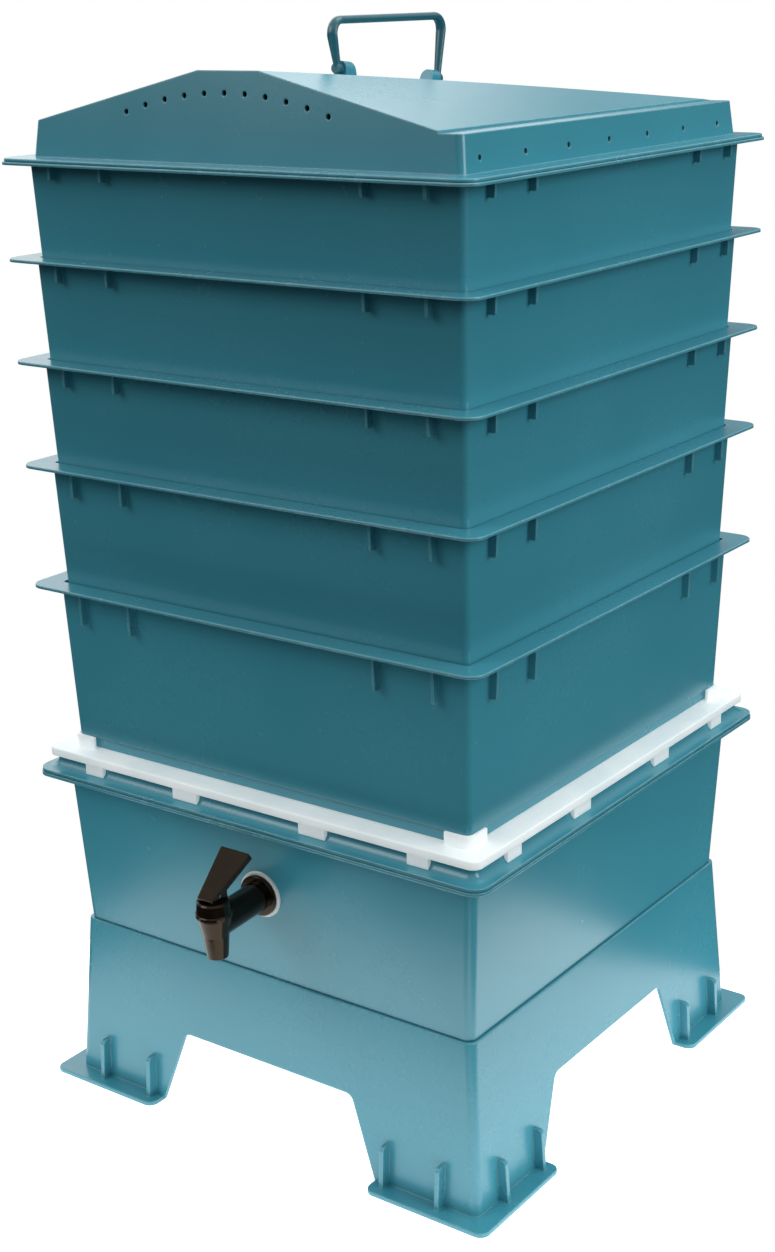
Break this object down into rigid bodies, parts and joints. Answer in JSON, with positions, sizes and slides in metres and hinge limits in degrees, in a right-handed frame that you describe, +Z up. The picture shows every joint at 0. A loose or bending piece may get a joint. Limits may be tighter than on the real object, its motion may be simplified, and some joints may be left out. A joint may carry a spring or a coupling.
{
  "type": "wormery",
  "caption": "Free-standing stacking worm composter: four-legged stand, liquid collector with a lever tap, strainer frame, nested working trays and a vented gabled lid with a folding handle.",
  "frame": {"origin": "on the floor, at the centre of the whole object's box, which includes the tap", "axes": "+Z up, -Y towards the tap side, X across; the stack is centred on x = 0 and y = 22.4 mm"},
  "size_m": [0.43, 0.4748, 0.8437],
  "materials": {
    "teal_plastic": "satin moulded plastic",
    "dark_teal_plastic": "satin moulded plastic, a shade darker than the trays",
    "white_plastic": "translucent natural plastic",
    "black_plastic": "polished black plastic",
    "white_washer": "smooth white",
    "black_rubber": "matt rubber",
    "steel": "plain steel"
  },
  "bodies": {
    "stand": {"stand": "teal_plastic"},
    "collector": {"collector_tray": "teal_plastic", "tap_body": "black_plastic", "tap_bonnet": "black_plastic", "tap_outer_washer": "white_washer", "tap_inner_gasket": "black_rubber", "tap_nut": "black_plastic", "tap_spring": "steel"},
    "strainer": {"strainer_frame": "white_plastic"},
    "tray_5": {"tray_5": "teal_plastic"},
    "tray_4": {"tray_4": "teal_plastic"},
    "tray_3": {"tray_3": "teal_plastic"},
    "tray_2": {"tray_2": "teal_plastic"},
    "tray_1": {"tray_1": "teal_plastic"},
    "lid": {"lid": "teal_plastic"},
    "handle": {"carry_handle": "dark_teal_plastic"},
    "valve_stem": {"tap_stem": "black_plastic", "stem_seal": "black_rubber", "lever_pin": "steel"},
    "lever": {"tap_lever": "black_plastic"}
  },
  "joints": [
    {"name": "collector_lift", "type": "slide", "parent": "stand", "child": "collector", "axis": [0, 0, 1], "range_m": [0, 0.05]},
    {"name": "strainer_lift", "type": "slide", "parent": "collector", "child": "strainer", "axis": [0, 0, 1], "range_m": [0, 0.05]},
    {"name": "tray_5_lift", "type": "slide", "parent": "strainer", "child": "tray_5", "axis": [0, 0, 1], "range_m": [0, 0.1]},
    {"name": "tray_4_lift", "type": "slide", "parent": "tray_5", "child": "tray_4", "axis": [0, 0, 1], "range_m": [0, 0.1]},
    {"name": "tray_3_lift", "type": "slide", "parent": "tray_4", "child": "tray_3", "axis": [0, 0, 1], "range_m": [0, 0.1]},
    {"name": "tray_2_lift", "type": "slide", "parent": "tray_3", "child": "tray_2", "axis": [0, 0, 1], "range_m": [0, 0.1]},
    {"name": "tray_1_lift", "type": "slide", "parent": "tray_2", "child": "tray_1", "axis": [0, 0, 1], "range_m": [0, 0.1]},
    {"name": "lid_lift", "type": "slide", "parent": "tray_1", "child": "lid", "axis": [0, 0, 1], "range_m": [0, 0.15]},
    {"name": "handle_swing", "type": "hinge", "parent": "lid", "child": "handle", "pos_m": [0, 0.0184, 0.8015], "axis": [0, 0.9952, -0.0976], "range_deg": [-90, 90]},
    {"name": "stem_lift", "type": "slide", "parent": "collector", "child": "valve_stem", "axis": [0, -0.0481, 0.9988], "range_m": [0, 0.0032], "stiffness_N_per_m": 600, "springref_m": -0.003, "deforming": ["tap_spring"]},
    {"name": "lever_tilt", "type": "hinge", "parent": "valve_stem", "child": "lever", "pos_m": [0, -0.22411, 0.23137], "axis": [1, 0, 0], "range_deg": [0, 35]}
  ],
  "couplings": [
    {"joint": "lever_tilt", "follows": "stem_lift", "rad_per_m": 190.9}
  ]
}
